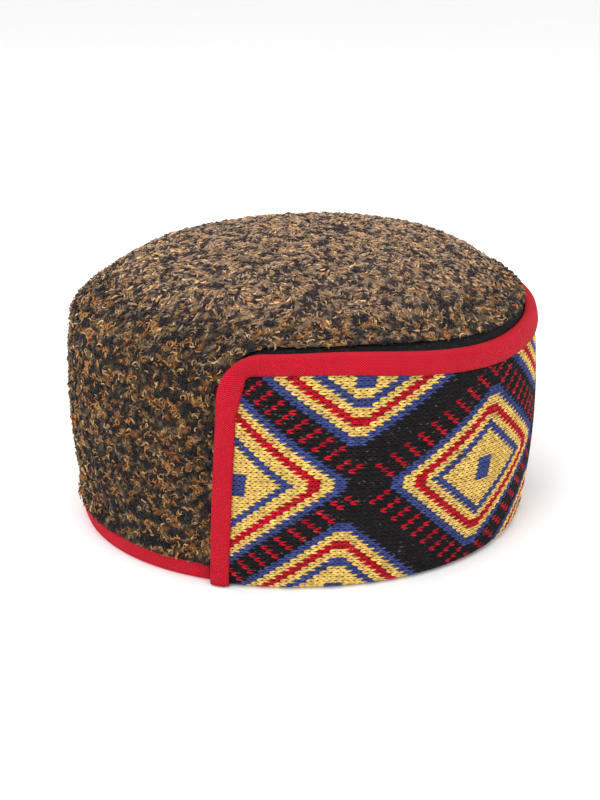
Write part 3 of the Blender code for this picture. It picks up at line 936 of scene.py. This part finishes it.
def mirrored(points):  # the same at the flap's other end
    return np.stack([roundLength - points[::-1, 0], points[::-1, 1]], 1)


def alongLine(line, distances):
    lengths = sectionLengths(line)
    return np.stack([np.interp(distances, lengths, line[:, i]) for i in (0, 1)], 1)


def flapRoutes():  # the tape's free and inner edges: up one end, over the top, down the other
    base, corner, top = cornerBase(), cap["flapCorner"], cornerBase() + cap["flapCorner"]
    heights = np.linspace(tape["start"], base, tape["legPoints"])[:-1]
    turns = np.linspace(0, pi / 2, tape["cornerPoints"])
    places = endPlace(base) + corner * (1 - np.cos(turns))
    dips = (flapTop(places / meanRadius) - top) * (1 - np.cos(turns))
    first = np.concatenate([np.stack([endPlace(heights), heights], 1),
                            np.stack([places, base + corner * np.sin(turns) + dips], 1)])
    leanFrom = top - tape["cornerWidth"] - tape["mitreRun"]
    lean = tape["mitre"] * np.clip((heights - leanFrom) / tape["mitreRun"], 0, 1)
    leg = np.stack([endPlace(heights) + tape["endWidth"] + lean, heights], 1)
    point = endPlace(base) + tape["endWidth"] + tape["mitre"]
    under, spare = top - tape["cornerWidth"], 4 * mm
    line = np.array([leg[-1], [point, under], [places[-1] + spare, under]])
    spots = np.linspace(0, sectionLengths(line)[-1] - spare, len(turns))
    shifts = tape["innerRound"] * np.linspace(-1, 1, 5)
    bend = sum(alongLine(line, spots + shift) for shift in shifts) / len(shifts)
    bend[:, 1] += dips
    over = np.linspace(places[-1], roundLength - places[-1], tape["topPoints"])[1:-1]
    fromEnd = np.minimum(over, roundLength - over) - places[-1]
    width = between(tape["cornerWidth"], tape["width"], ease(fromEnd / tape["cornerRun"]))
    edge = flapTop(over / meanRadius)
    outer = np.concatenate([first, np.stack([over, edge], 1), mirrored(first)])
    start = np.concatenate([leg, bend])
    inner = np.concatenate([start, np.stack([over, edge - width], 1), mirrored(start)])
    return outer, inner


def makeBand():  # the black twill under the flap, which shows above the tape
    end = frontEnd + 3 * cap["gap"] / meanRadius
    angles = np.linspace(end, tau - end, band["columns"])
    shares = np.concatenate([np.linspace(band["lowest"], band["shown"], band["hiddenRows"])[:-1],
                             np.linspace(band["shown"], 1, band["shownRows"])])
    bm, column, row = makeGrid(len(angles), len(shares))
    angle = angles[column]
    height = bandHeight(angle) * shares[row]
    putAt(bm, leanedPoints(angle, height))
    setMap(bm, angle * meanRadius, height)
    piece = finishPiece(bm, "blackBand", blackTwill, ["under_band"])
    thicken(piece, cap["bandThickness"])
    return piece


hemAngles = np.linspace(frontEnd, -frontEnd, hem["points"])
hemRoute = np.stack([hemAngles * meanRadius, hemAngles * 0], 1)
hemTape = makeTape("hemTape", hemRoute, hemRoute + [0, hem["width"]], hem, "hem_binding", -1)
flapTape = makeTape("flapTape", *flapRoutes(), tape, "flap_binding", cap["turnRadius"] + cap["gap"])
blackBand = makeBand()
print("tape and band made")


# Floor, light and camera

studio = {
    "cameraTurn": 75, "cameraRise": 23.05, "distance": 0.5999, "sideways": -0.00164,
    "height": 0.04643, "lens": 56.91, "aim": (0, 0, 0.05), "sky": 1.0,
    "floorSize": 12.0, "floorColour": (0.93, 0.93, 0.93),
}


def makeFloor():
    bm = bmesh.new()
    bmesh.ops.create_grid(bm, x_segments=8, y_segments=8, size=studio["floorSize"])
    mesh = bpy.data.meshes.new("studioFloor")
    bm.to_mesh(mesh)
    bm.free()
    material, tree, shader = newMaterial("paleFloor", {"roughness": 0.9, "sheen": 0.0})
    where = tree.nodes.new("ShaderNodeTexCoord").outputs["Object"]
    shade = mathNode(tree, "MULTIPLY_ADD", noiseNode(tree, where, 4.0), 0.02, 0.99)
    tree.links.new(tinted(tree, studio["floorColour"], shade), shader.inputs["Base Color"])
    mesh.materials.append(material)
    floor = bpy.data.objects.new("studioFloor", mesh)
    bpy.context.scene.collection.objects.link(floor)


def addLight(name, place, size, watts):
    light = bpy.data.lights.new(name, "AREA")
    light.shape, light.size, light.energy = "DISK", size, watts
    lamp = bpy.data.objects.new(name, light)
    lamp.location = place
    towards = Vector(studio["aim"]) - Vector(place)
    lamp.rotation_euler = towards.to_track_quat("-Z", "Y").to_euler()
    bpy.context.scene.collection.objects.link(lamp)


turn, rise = radians(studio["cameraTurn"]), radians(studio["cameraRise"])
back = Vector((sin(turn) * cos(rise), -cos(turn) * cos(rise), sin(rise)))
right = Vector((cos(turn), sin(turn), 0))
makeFloor()
addLight("topLight", (0.1, -0.15, 1.1), size=0.9, watts=5)
addLight("keyLight", back * 0.9 - right * 0.55 + Vector((0, 0, 0.45)), size=0.6, watts=4.5)
addLight("fillLight", back * 0.8 + right * 0.7 + Vector((0, 0, 0.1)), size=0.7, watts=1.5)
world = bpy.data.worlds.new("studio")
world.use_nodes = True
sky = world.node_tree.nodes["Background"]
sky.inputs["Color"].default_value = (1, 1, 1, 1)
sky.inputs["Strength"].default_value = studio["sky"]
bpy.context.scene.world = world
bpy.context.scene.view_settings.view_transform = "Standard"

camera = bpy.data.cameras.new("photoCamera")
camera.lens = studio["lens"]
camera.sensor_width = 36
camera.clip_start = 0.01
eye = bpy.data.objects.new("photoCamera", camera)
eye.matrix_world = Matrix((right, back.cross(right), back)).transposed().to_4x4()
middle = Vector((0, cap["planShift"], studio["height"]))
eye.location = right * studio["sideways"] + back * studio["distance"] + middle
bpy.context.scene.collection.objects.link(eye)
bpy.context.scene.camera = eye
print("studio made")
